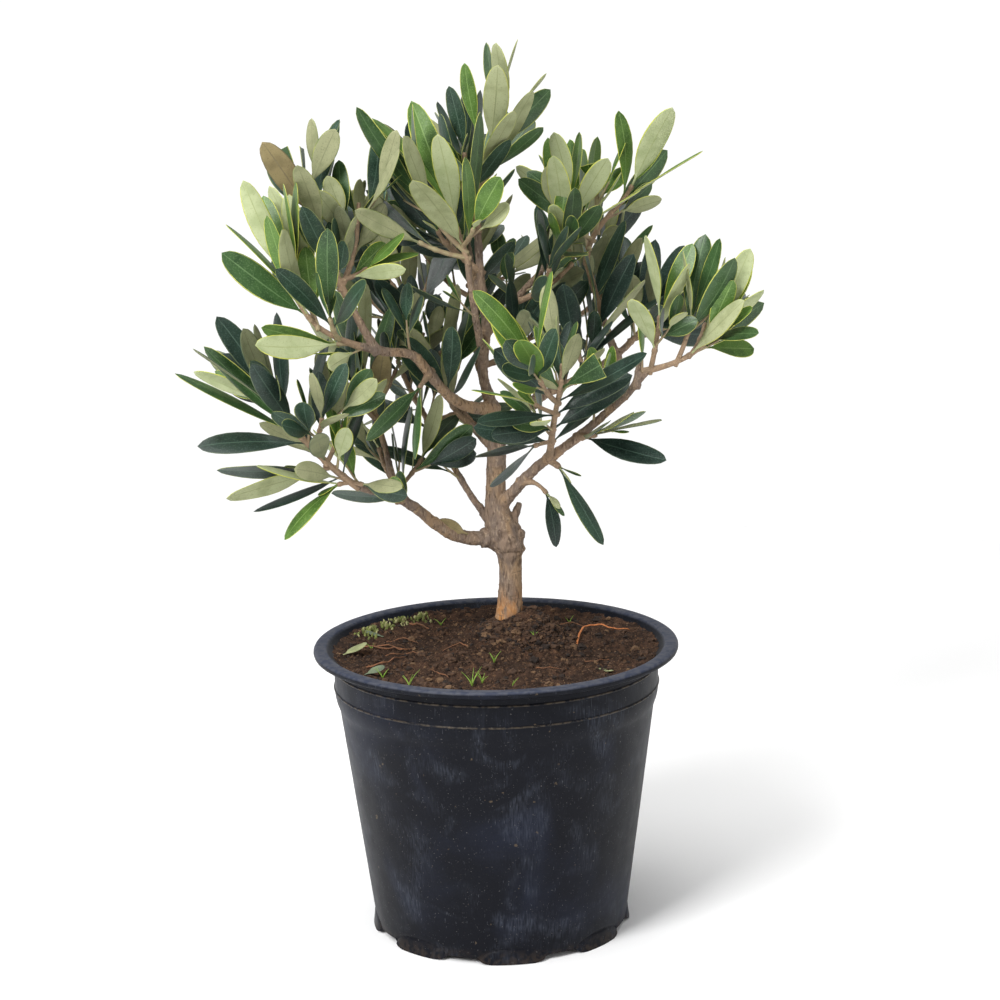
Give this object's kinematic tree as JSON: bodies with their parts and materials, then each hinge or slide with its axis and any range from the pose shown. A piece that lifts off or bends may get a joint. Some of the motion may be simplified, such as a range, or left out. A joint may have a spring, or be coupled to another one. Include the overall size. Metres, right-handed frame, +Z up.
{
  "type": "potted olive tree",
  "caption": "Young olive tree with a short leaning trunk, spreading boughs and an open crown of narrow leaves, planted in a round tapered nursery pot.",
  "frame": {"origin": "centre of the pot's flat underside, on the ground", "axes": "+Z up along the pot's axis, the plant's front faces -Y, +X to the plant's right as seen from the front"},
  "size_m": [0.2968, 0.2464, 0.4594],
  "materials": {
    "pot_plastic": "blue-black moulded plastic, lightly scuffed and dusty",
    "soil": "rough dark brown potting soil",
    "bark": "grey-brown young bark with tan patches",
    "foliage": "leathery leaves, dark green above and pale grey-green below, on tan twigs"
  },
  "bodies": {
    "root": {"pot": "pot_plastic", "soil": "soil", "trunk": "bark", "bough_low_left": "bark", "bough_inner_left": "bark", "bough_thin_left": "bark", "bough_mid_left": "bark", "bough_upper_left": "bark", "bough_front_upper": "bark", "bough_right_low": "bark", "bough_right_mid": "bark", "bough_upper_right": "bark", "bough_upper_mid": "bark", "bough_back_left": "bark", "bough_back": "bark", "bough_back_right": "bark", "bough_back_top": "bark", "foliage_low_left": "foliage", "foliage_mid_left": "foliage", "foliage_mid_inner": "foliage", "foliage_mid_right": "foliage", "foliage_upper_left": "foliage", "foliage_front_upper": "foliage", "foliage_top": "foliage", "foliage_front": "foliage", "foliage_right": "foliage", "foliage_upper_right": "foliage", "foliage_upper_mid": "foliage", "foliage_inner_left": "foliage", "foliage_thin_left": "foliage", "foliage_lower_right": "foliage", "foliage_hanging": "foliage", "foliage_hanging_front": "foliage", "foliage_right_back": "foliage", "foliage_inner_top": "foliage", "foliage_inner_right": "foliage", "foliage_low_inner": "foliage", "foliage_heart_left": "foliage", "foliage_heart_right": "foliage", "foliage_back_left": "foliage", "foliage_back": "foliage", "foliage_back_right": "foliage", "foliage_back_top": "foliage"}
  },
  "joints": []
}
